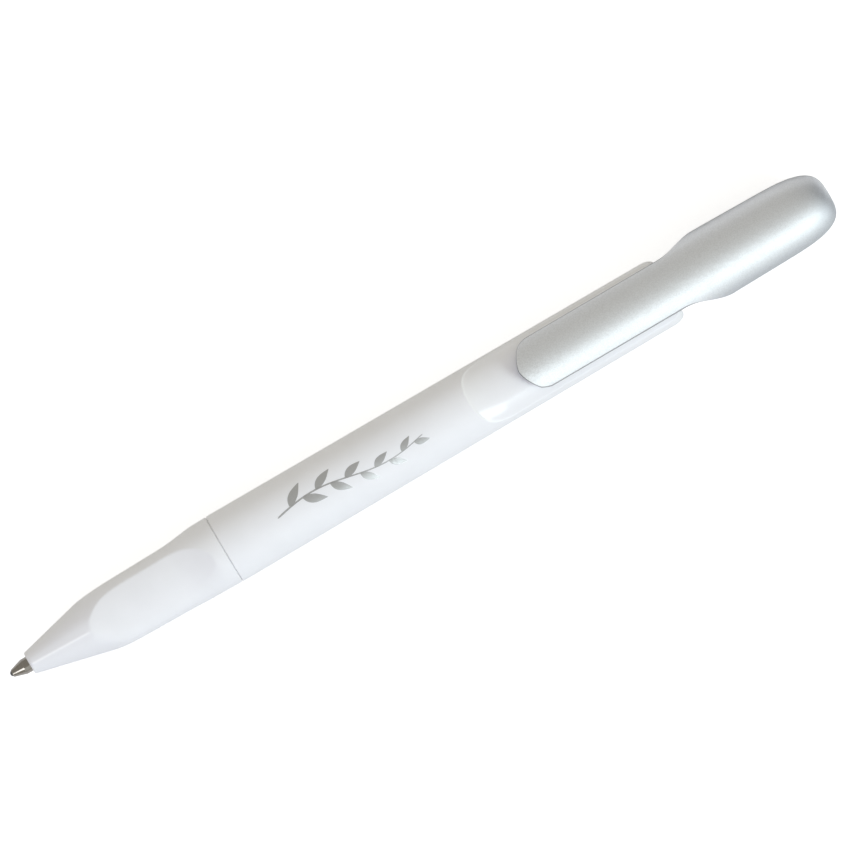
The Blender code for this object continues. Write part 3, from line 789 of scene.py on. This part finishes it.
@dataclass
class ClipButton:
    """Silver clip, neck and domed head, moulded as one hollow piece with a rolled edge.

    Every section is an arc around the head's own axis. The arc is narrow along the clip, widens at
    the neck and closes into a ring behind the head's mouth.
    """

    front_x: float = 87.8
    front_round: float = 2.7
    front_power: float = 1.5
    front_corner: float = 0.8
    front_span: float = 7.0
    corner_share: float = 0.85
    half_width: float = 4.1
    wall: float = 1.0
    edge_wall: float = 0.3
    edge_flare: float = 0.13
    edge_bulge: float = 0.15
    edge_rows: int = 10
    mouth_bulge: float = 0.8
    bead_x: float = 92.2
    bead_half: float = 1.2
    bead_height: float = 0.3
    neck_x: float = 113.8
    head_x: float = 121.0
    head_r: float = 5.58
    head_lift: float = 0.7
    head_wall: float = 1.2
    mouth_rake: float = 1.3
    taper_x: float = 134.0
    taper_r: float = 5.36
    dome_x: float = 130.0
    dome_power: float = 3.5
    hollow_x: float = 131.0
    hollow_end_x: float = 136.5
    end_x: float = 141.0
    fine_end_x: float = 95.8
    neck_margin: float = 1.0
    clip_steps: tuple[int, int, int] = (32, 20, 40)
    head_steps: tuple[int, int, int] = (16, 14, 36)
    across: int = 128
    piece: Piece = Piece("clip_button_shell", SILVER_LACQUER, Body.BUTTON, Slot.SILVER, "clip_button")

    def rows(self) -> tuple[Array, int]:
        """Places along the clip for its rows.

        Returns:
            The places, and the index of the row where the head's ring closes.
        """
        rake_steps, head_steps, dome_steps = self.head_steps
        marks = (self.front_x, self.fine_end_x, self.neck_x - self.neck_margin, self.head_x)
        clip = stations(marks, self.clip_steps)
        mouth = self.head_x + self.mouth_rake * quarter(rake_steps)
        head = np.linspace(mouth[-1], self.dome_x, head_steps + 1)[1:]
        dome = mix(self.dome_x, self.end_x, quarter(dome_steps))
        return np.concatenate((clip, mouth, head, dome)), len(clip) + len(mouth) - 1

    def grown(self, x: Array) -> Array:
        """How far the clip has widened into the head: a smooth step along the neck."""
        return smooth_step(passed(x, self.neck_x, self.head_x))

    def reach(self, x: Array) -> Array:
        """Angle at which the outer arc ends.

        Along the clip it is that of the half width less the edge's flare, and it grows at the neck.
        Behind the head's front the edge runs down a raked mouth, so its cosine falls evenly.

        Args:
            x: place along the pen.

        Returns:
            The angle.
        """
        width = mix(self.half_width - self.edge_flare, self.head_r, self.grown(x))
        open_arc = np.arcsin(np.clip(width / self.head_r, 0.0, 1.0))
        mouth = np.arccos(-passed(x, self.head_x, self.head_x + self.mouth_rake))
        return np.where(x < self.head_x, open_arc, mouth)

    def radius(self, x: Array) -> Array:
        """Outer radius: even along the clip, a slow taper on the head, then a rounded dome."""
        even = mix(
            self.head_r, self.taper_r, np.maximum(0.0, x - self.head_x) / (self.taper_x - self.head_x)
        )
        return even * (1 - passed(x, self.dome_x, self.end_x) ** self.dome_power) ** (1 / self.dome_power)

    def inner_radius(self, x: Array, t: Array) -> Array:
        """Inner radius: the wall thins to the clip's edges, and a bead stands on its underside.

        Args:
            x: place along the pen.
            t: place across the clip, from -1 to 1.

        Returns:
            The radius.
        """
        clip = mix(self.wall, self.edge_wall, t**2)
        wall = mix(clip, self.head_wall, passed(x, self.neck_x, self.head_x) ** 2)
        bead = np.maximum(0.0, 1 - ((x - self.bead_x) / self.bead_half) ** 2) * (1 - t**2)
        return self.radius(x) - wall - self.bead_height * bead

    def sheets(self) -> tuple[Array, Array, int]:
        """The outer and the inner skin.

        The rows begin on the clip's rounded front, x0 = end of the rounding less its length times
        (1 - f to the power p) to the power 1/p, with f the share of the half width. The corners are
        drawn back as a parabola, and the rows straighten out along the first stretch of the clip. The
        inner arc ends further out along the clip, where it reaches the full half width.

        Returns:
            Grids of the outer and the inner skin, and the row where the ring closes.
        """
        rows, closing = self.rows()
        along = rows[:, None]
        t = np.sin(np.linspace(-math.pi / 2, math.pi / 2, self.across + 1))
        reach = self.reach(along)
        share = np.clip(np.abs(np.sin(reach[0] * t)) / np.sin(reach[0]), 0.0, 1.0)
        bow = (1 - share**self.front_power) ** (1 / self.front_power)
        corner = passed(share, self.corner_share, 1.0)
        start = mix(self.front_round, self.edge_flare, bow) + self.front_corner * corner**2
        fade = passed(along, self.front_x + self.front_span, self.front_x)
        x = along + start * fade
        outer = polar(x, self.radius(x), reach * t, self.head_lift)
        hollow = np.minimum(x, self.hollow_x)
        past = passed(x, self.hollow_x, self.end_x)
        inner_x = hollow + (self.hollow_end_x - self.hollow_x) * past - self.edge_flare * fade
        inner_r = self.inner_radius(hollow, t) * np.sqrt(1 - past**2)
        flared = math.asin(self.half_width / (self.head_r - self.edge_wall))
        under_reach = reach + (flared - reach[0]) * (1 - self.grown(along))
        return outer, polar(inner_x, inner_r, under_reach * t, self.head_lift), closing

    def rolled_edge(self, outer: Array, inner: Array, closing: int) -> Array:
        """The edge that joins the two skins.

        It follows the sheet's border, along one side, round the front and back along the other.
        Across it is half an ellipse from the outer to the inner skin: flat along the clip, where the
        inner skin stands out further, and bulged round the head's mouth.

        Args:
            outer: grid of the outer skin.
            inner: grid of the inner skin.
            closing: row where the ring closes.

        Returns:
            A grid of points.
        """
        over, under = (
            np.concatenate((sheet[closing:0:-1, 0], sheet[0], sheet[1 : closing + 1, -1]))
            for sheet in (outer, inner)
        )
        middle = (over + under) / 2
        half = (over - under) / 2
        ahead = np.concatenate((middle[1:], middle[1:2]))
        behind = np.concatenate((middle[-2:-1], middle[:-1]))
        away = np.cross(ahead - behind, half)
        away /= np.linalg.norm(away, axis=1, keepdims=True)
        away *= -np.sign(away[len(middle) // 2, 0])
        rounding = mix(self.edge_bulge, self.mouth_bulge, self.grown(middle[:, :1]))
        bulge = away * np.linalg.norm(half, axis=1, keepdims=True) * rounding
        turn = np.linspace(0.0, math.pi, self.edge_rows + 1)[1:-1, None, None]
        curve = middle + half * np.cos(turn) + bulge * np.sin(turn)
        return np.concatenate((over[None], curve, under[None]))

    def build(self) -> None:
        """Make the piece from its two skins and the rolled edge."""
        outer, inner, closing = self.sheets()
        edge = self.rolled_edge(outer, inner, closing)
        # The mark along the clip's edge carries painted shade: the lacquer darkens there in place of the
        # gap's shadow
        self.piece.add([outer, inner, edge], {2: 1 - self.grown(edge[..., 0])})


@dataclass
class PushRod:
    """White rod from the cam to the head, with splines at its front and a plug in the head."""

    front_x: float = 94.3
    tip_r: float = 2.3
    radius: float = 2.6
    tip_taper: float = 1.5
    tooth_depth: float = 0.7
    teeth: int = 8
    spline_x: float = 97.0
    spline_end_x: float = 101.0
    spline_r: float = 3.25
    spline_half: float = 0.6
    spline_flank: float = 0.1
    splines: int = 4
    plug_x: float = 123.2
    plug_r: float = 3.85
    plug_edge: float = 0.5
    plug_lift: float = 0.75
    end_x: float = 129.0
    steps: tuple[int, int, int, int] = (5, 4, 40, 11)
    around: int = 192
    piece: Piece = Piece("push_rod_shell", WHITE_PLASTIC, Body.BUTTON, Slot.WHITE, "push_rod")

    def build(self) -> None:
        """Make the piece: toothed tip, splined shaft and the plug's disc as one closed skin.

        The shaft is round behind its tapered tip, with flat-topped splines along one stretch. The teeth
        are a triangle wave around the rod, which fades out along the tip.
        """
        tip_end_x = self.front_x + self.tip_taper
        marks = (self.front_x, tip_end_x, self.spline_x, self.spline_end_x, self.plug_x)
        x = stations(marks, self.steps)[:, None]
        turn = full_turn(self.around)
        step = math.tau / self.splines
        aside = np.abs((turn + step / 2) % step - step / 2) * self.radius
        inside = np.minimum(x - self.spline_x, self.spline_end_x - x)
        raised = np.clip(np.minimum(inside, self.spline_half - aside) / self.spline_flank, 0.0, 1.0)
        even = mix(self.tip_r, self.radius, passed(x, self.front_x, tip_end_x))
        wave = np.abs((turn * self.teeth / math.tau) % 1.0 - 0.5) * 2 * self.tooth_depth
        toothed_x = x + wave * passed(x, tip_end_x, self.front_x)
        shaft = polar(toothed_x, even + (self.spline_r - self.radius) * raised, turn)
        nose = pole(self.front_x + self.tooth_depth, 0.0, len(turn))
        plug = [
            (self.plug_x, self.plug_r),
            *rounded(self.end_x - self.plug_edge, self.plug_r - self.plug_edge, self.plug_edge, 90, 0),
            (self.end_x, 0.0),
        ]
        self.piece.add([np.concatenate((nose, shaft, turned(plug, turn, self.plug_lift)))])


@dataclass
class WritingPoint:
    """Metal nib with a crimped rim, and the ball that rolls in it.

    The outline runs from the cone's end along the body and the shank, and back through the ink
    channel and the ball's seat to the mouth.
    """

    ball_r: float = 0.5
    rim_x: float = 0.35
    rim_r: float = 0.6
    rim_edge: float = 0.03
    rim_turn: Pair = (180.0, 60.0)
    rim_steps: int = 6
    outline: Outline = (
        (2.24, 1.178), (2.3, 1.192), (2.36, 1.2), (9.94, 1.2), (10.0, 1.14), (10.0, 0.75), (14.5, 0.75),
        (14.5, 0.25), (1.06, 0.25), (1.06, 0.535), (0.5, 0.535), (0.35, 0.495),
    )
    nib_around: int = 96
    ball_around: int = 64
    ball_steps: int = 32
    nib: Piece = Piece("nib_shell", NICKEL_SILVER, Body.REFILL, Slot.NICKEL, "nib")
    ball: Piece = Piece("ball_shell", BALL_STEEL, Body.BALL, Slot.STEEL, "ball")

    def build(self) -> None:
        """Make the nib as a turned ring and the ball as a sphere with its poles along the pen."""
        edge = self.rim_edge
        rim = rounded(self.rim_x + edge, self.rim_r - edge, edge, *self.rim_turn, self.rim_steps)
        outline = (self.outline[-1], *rim, *self.outline)
        self.nib.add([turned(outline, full_turn(self.nib_around))])
        globe = rounded(self.ball_r, 0.0, self.ball_r, 180, 0, self.ball_steps)
        self.ball.add([turned(globe, full_turn(self.ball_around))])


@dataclass
class ReturnSpring:
    """Steel coil between the seat in the nose and the refill's stop."""

    front_x: float = 10.39
    rear_x: float = 26.51
    coil_r: float = 2.0
    wire_r: float = 0.19
    turns: int = 9
    per_turn: int = 32
    sides: int = 12
    piece: Piece = Piece(
        "return_spring_coil", SPRING_STEEL, Body.CASING, Slot.STEEL, "return_spring", Body.REFILL
    )

    def build(self) -> None:
        """Make the coil: a circle of the wire's radius carried along a helix, closed at both ends.

        The circle stands across the helix: one of its axes points away from the pen's axis, the
        other is square to that and to the wire.
        """
        share = np.linspace(0.0, 1.0, self.turns * self.per_turn + 1)[:, None]
        turn = math.tau * self.turns * share
        slope = math.atan2(self.rear_x - self.front_x, math.tau * self.turns * self.coil_r)
        ring = full_turn(self.sides)
        outward = self.coil_r + self.wire_r * np.cos(ring)
        aside = self.wire_r * np.sin(ring)
        x = mix(self.front_x, self.rear_x, share) + aside * math.cos(slope)
        y = outward * np.cos(turn) + aside * math.sin(slope) * np.sin(turn)
        z = outward * np.sin(turn) - aside * math.sin(slope) * np.cos(turn)
        front, rear = (pole(end_x, self.coil_r, len(ring)) for end_x in (self.front_x, self.rear_x))
        skin = np.concatenate((front, np.stack((x, y, z), axis=-1), rear))
        self.piece.add([skin], stretch=(self.front_x, self.rear_x))


@dataclass
class SilverPrint:
    """Leafy sprig printed along the barrel: a wavy stem with leaves on either side.

    It is laid out flat, with x along the barrel and a distance across it from the sprig's middle,
    and then wrapped round the barrel as a film that is a few hundredths of a millimetre thick.
    """

    barrel: Barrel
    start_x: float = 46.0
    length: float = 25.0
    middle_angle: float = -6.0
    wave: float = 0.9
    stem_half: float = 0.15
    stem_thinning: float = 0.5
    stem_pinch: int = 40
    stem_rows: int = 90
    stem_columns: tuple[float, ...] = (-1.0, -0.9, 0.0, 0.9, 1.0)
    leaves: int = 10
    leaf_places: Pair = (0.1, 0.93)
    leaf_length: Pair = (4.0, 2.4)
    leaf_half: Pair = (0.72, 0.5)
    leaf_lean: float = 40.0
    leaf_bend: float = 0.5
    leaf_fullness: float = 0.8
    leaf_rows: int = 28
    leaf_columns: tuple[float, ...] = (-1.0, -0.95, -0.5, 0.0, 0.5, 0.95, 1.0)
    film: float = 0.016
    sunk: float = 0.01
    piece: Piece = Piece("sprig_print", PRINT_SILVER, Body.CASING, Slot.SILVER)

    def stem_height(self, share: Number) -> Number:
        """Distance of the stem from the sprig's middle: one wave of a sine along its length."""
        return self.wave * np.sin(math.tau * share)

    def stem_slope(self, share: Number) -> Number:
        """Direction of the stem, as an angle from the barrel's length."""
        return np.arctan(self.wave * math.tau / self.length * np.cos(math.tau * share))

    def wrap(self, x: Array, across: Array, raised: Number) -> Array:
        """Lay flat points on the barrel, raised over its surface."""
        radius = self.barrel.radius(x)
        return polar(x, radius + raised, math.radians(self.middle_angle) + across / radius)

    def strip(self, x: Array, across: Array, slope: Number, aside: Array) -> list[Array]:
        """A strip of film along a middle line.

        The upper face stands over the barrel and drops into it at the border, where it meets the
        lower face, which lies just under the barrel's surface.

        Args:
            x: places of the middle line along the pen.
            across: its distances from the sprig's middle.
            slope: angle from the barrel's length, which the strip's width is square to.
            aside: grid of distances from the middle line.

        Returns:
            Grids of the upper and the lower face.
        """
        x = x - aside * np.sin(slope)
        across = across + aside * np.cos(slope)
        raised = np.full(x.shape, -self.sunk)
        raised[1:-1, 1:-1] = self.film
        return [self.wrap(x, across, raised), self.wrap(x, across, -self.sunk)]

    def stem(self) -> list[Array]:
        """Stem: a ribbon along the sine, thinning towards its tip and pinched at both ends.

        Returns:
            Grids of its upper and lower face.
        """
        share = np.linspace(0.0, 1.0, self.stem_rows)[:, None]
        pinch = np.sqrt(np.clip(1 - (2 * share - 1) ** self.stem_pinch, 0.0, 1.0))
        half = self.stem_half * (1 - self.stem_thinning * share) * pinch
        aside = np.array(self.stem_columns) * half
        x = self.start_x + self.length * share
        return self.strip(x, self.stem_height(share), self.stem_slope(share), aside)

    def leaf(self, index: int) -> list[Array]:
        """One leaf: its half width follows a sine that is fuller near the stem, along a bent midrib.

        Args:
            index: the leaf's number, from the stem's foot; even ones lie on the left.

        Returns:
            Grids of its upper and lower face.
        """
        grown = index / (self.leaves - 1)
        place = mix(*self.leaf_places, grown)
        side = 1 if index % 2 == 0 else -1
        lean = self.stem_slope(place) + side * math.radians(self.leaf_lean)
        share = np.linspace(0.0, 1.0, self.leaf_rows)[:, None]
        width = mix(*self.leaf_half, grown) * np.sin(math.pi * share**self.leaf_fullness)
        along = mix(*self.leaf_length, grown) * share
        aside = np.array(self.leaf_columns) * width - side * self.leaf_bend * share**2
        x = self.start_x + self.length * place + along * math.cos(lean)
        return self.strip(x, self.stem_height(place) + along * math.sin(lean), lean, aside)

    def build(self) -> None:
        """Make the print from its stem and leaves."""
        leaves = [patch for index in range(self.leaves) for patch in self.leaf(index)]
        self.piece.add(self.stem() + leaves)


@dataclass(frozen=True)
class InnerParts:
    """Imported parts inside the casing, which keep their solids and get a finish each."""

    finishes: dict[str, Finish]

    def dress(self, nodes: dict[str, bpy.types.Object]) -> None:
        """Give each named node its finish.

        Args:
            nodes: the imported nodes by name.
        """
        for name, finish in self.finishes.items():
            materials = nodes[name].data.materials
            materials.clear()
            materials.append(material_of(finish))
            LOG.info("%s: dressed in %s", name, finish.name)


def aimed(target: Point, turns: Point, offset: Point) -> Matrix:
    """Matrix at an offset over a target, swung about z, tilted about x and rolled, in degrees."""
    swing, tilt, roll = (Matrix.Rotation(math.radians(turn), 4, axis) for turn, axis in zip(turns, "ZXZ"))
    return Matrix.Translation(target) @ swing @ tilt @ Matrix.Translation(offset) @ roll


@dataclass(frozen=True)
class Lamp:
    """Soft panel that faces a point of the pen's axis, aim_x metres from the pen's middle.

    It is tilted from straight above and swung about the vertical from -y towards +x, both in degrees.
    Its size and distance are in metres, its power in watts.
    """

    name: str
    reach: Reach
    tilt: float
    swing: float
    size: Pair
    power: float
    colour: Colour
    distance: float = 1.0
    aim_x: float = 0.0

    def build(self) -> None:
        """Place the lamp."""
        data = bpy.data.lights.new(self.name, "AREA")
        data.shape = "RECTANGLE"
        data.size, data.size_y = self.size
        data.energy = self.power
        data.color = self.colour
        lamp = bpy.data.objects.new(self.name, data)
        target = (self.aim_x, *pen_origin()[1:])
        lamp.matrix_world = aimed(target, (self.swing, self.tilt, 0.0), (0.0, 0.0, self.distance))
        lamp.visible_camera = False
        lamp.visible_diffuse = self.reach is Reach.SCATTERED
        lamp.visible_glossy = self.reach is Reach.MIRRORED
        bpy.context.collection.objects.link(lamp)


def rectangle(
    name: str, material: bpy.types.Material, corner: Point, side: Point, other_side: Point
) -> bpy.types.Object:
    """Put up a flat rectangle of the stage.

    Args:
        name: its name.
        material: its material.
        corner: its first corner, in metres.
        side: from that corner to the next.
        other_side: from that corner to the last.

    Returns:
        The object.
    """
    first, along, across = map(Vector, (corner, side, other_side))
    mesh = bpy.data.meshes.new(name)
    mesh.from_pydata((first, first + along, first + along + across, first + across), [], [(0, 1, 2, 3)])
    mesh.materials.append(material)
    card = bpy.data.objects.new(name, mesh)
    bpy.context.collection.objects.link(card)
    return card


@dataclass(frozen=True)
class ShadeCard:
    """Card near the head that shows only in glossy surfaces, as a photographer's flag does."""

    name: str
    corner: Point
    side: Point
    other_side: Point
    colour: Colour
    roughness: float = 0.9

    def build(self) -> None:
        """Put the card up and hide it from all but glossy rays."""
        sheet = MaterialSheet(self.name)
        sheet.shade("Base Color", rgba(self.colour))
        sheet.shade("Roughness", self.roughness)
        card = rectangle(self.name, sheet.material, self.corner, self.side, self.other_side)
        card.visible_camera = False
        card.visible_diffuse = False
        card.visible_transmission = False
        card.visible_shadow = False


@dataclass
class Studio:
    """White table and pale even surroundings.

    A softbox at the right and a cool panel at the left light the white plastic. Two wide panels and
    two small lamps near the pen's ends show only as highlights, and cards shade the head's limbs.
    """

    ambient: Colour = (0.656, 0.632, 0.576)
    floor_half: float = 3.0
    floor_colour: Colour = (0.57, 0.57, 0.57)
    floor_glow: float = 0.7
    # Name, reach, tilt, swing, size, power, colour, distance and aim_x
    lamps: tuple[Lamp, ...] = (
        Lamp("softbox", Reach.SCATTERED, 56.0, 42.0, (0.4, 0.35), 4.6, (0.86, 0.975, 1.0)),
        Lamp("gloss_panel", Reach.MIRRORED, 56.0, 24.0, (0.6, 0.45), 4.45, (0.86, 0.975, 1.0)),
        Lamp("sky_panel", Reach.SCATTERED, 44.0, -40.0, (1.2, 0.9), 1.6, (0.2, 0.3, 1.0)),
        Lamp("sheen_panel", Reach.MIRRORED, 54.0, 0.0, (1.2, 1.0), 2.1, (0.88, 0.97, 1.0)),
        Lamp("end_lamp", Reach.MIRRORED, 82.0, 46.0, (0.02, 0.012), 0.0014, (0.85, 0.95, 1.0), 0.042, 0.068),
        Lamp("tip_lamp", Reach.MIRRORED, 43.0, -47.0, (0.032, 0.024), 0.013, (0.95, 0.97, 1.0), 0.08, -0.07),
    )
    # Name, first corner, the two sides from it, and colour
    cards: tuple[ShadeCard, ...] = (
        ShadeCard("end_card", (0.105, -0.06, 0.0), (0, 0.12, 0), (0, 0, 0.05), (0.34, 0.355, 0.37)),
        ShadeCard("under_card", (0.044, -0.06, 0.0002), (0.056, 0, 0), (0, 0.06, 0), (0.54, 0.55, 0.56)),
        ShadeCard("back_card", (0.044, 0.0, 0.0002), (0.03, 0, 0), (0, 0.015, 0), (0.03, 0.035, 0.04)),
    )

    def add_world(self) -> None:
        """Surroundings: the same pale light from everywhere."""
        world = bpy.data.worlds.new("studio")
        bpy.context.scene.world = world
        world.use_nodes = True
        world.node_tree.nodes["Background"].inputs["Color"].default_value = rgba(self.ambient)

    def floor_paint(self) -> bpy.types.Material:
        """White paint that keeps a faint shadow.

        It glows for rays from the camera, from glossy surfaces and through clear ones.

        Returns:
            The material.
        """
        sheet = MaterialSheet("table_white")
        rays = sheet.node("LightPath").outputs
        seen = sheet.math("MAXIMUM", rays["Is Camera Ray"], rays["Is Glossy Ray"])
        shown = sheet.math("MAXIMUM", seen, rays["Is Transmission Ray"])
        glow = sheet.node("Emission", {"Strength": sheet.math("MULTIPLY", shown, self.floor_glow)})
        paint = sheet.node("BsdfDiffuse", {"Color": rgba(self.floor_colour)})
        both = sheet.node("AddShader", {0: paint.outputs["BSDF"], 1: glow.outputs["Emission"]})
        sheet.feed(sheet.tree.nodes["Material Output"].inputs["Surface"], both.outputs["Shader"])
        sheet.tree.nodes.remove(sheet.shader)
        return sheet.material

    def build(self) -> None:
        """Set up the surroundings, the table, the cards and the lamps."""
        self.add_world()
        half, width = self.floor_half, 2 * self.floor_half
        rectangle("table", self.floor_paint(), (-half, -half, 0), (width, 0, 0), (0, width, 0))
        for item in (*self.cards, *self.lamps):
            item.build()


@dataclass
class PhotoCamera:
    """Camera almost straight above the pen, which lies across the picture's diagonal."""

    lean: float = 4.7
    roll: float = 30.42
    centre_x: float = 71.9
    centre_y: float = 0.81
    frame_width: float = 126.3
    lens: float = 420.0
    sensor: float = 36.0
    clip_start: float = 0.01

    def build(self) -> None:
        """Place the camera and make it the scene's own."""
        data = bpy.data.cameras.new("camera")
        data.lens = self.lens
        data.sensor_width = self.sensor
        data.clip_start = self.clip_start
        camera = bpy.data.objects.new("camera", data)
        distance = self.frame_width * self.lens / self.sensor
        offset = (0.0, self.centre_y * MM, distance * MM)
        centre = placed(np.array((self.centre_x, 0.0, 0.0)))
        camera.matrix_world = aimed(centre, (0.0, self.lean, -self.roll), offset)
        bpy.context.collection.objects.link(camera)
        bpy.context.scene.camera = camera


def main() -> None:
    """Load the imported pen, dress it piece by piece and set up the studio and the camera."""
    logging.basicConfig(level=logging.INFO, format="%(message)s")
    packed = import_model()
    barrel = Barrel()
    sprig = SilverPrint(barrel)
    for part in (GripSection(), barrel, sprig, ClipButton(), PushRod(), WritingPoint(), ReturnSpring()):
        part.build()
    inner = InnerParts(
        {
            "cam_sleeve": GREY_PLASTIC,
            "cam_rotor": GREY_PLASTIC,
            "refill_tube": MILKY_PLASTIC,
            "refill_plug": WHITE_PLASTIC,
            "nib_holder": WHITE_PLASTIC,
            "ink_column": INK_PASTE,
        }
    )
    inner.dress(packed["nodes"])
    Studio().build()
    PhotoCamera().build()
    bpy.context.scene.view_settings.view_transform = "Standard"


if __name__ == "__main__":
    main()
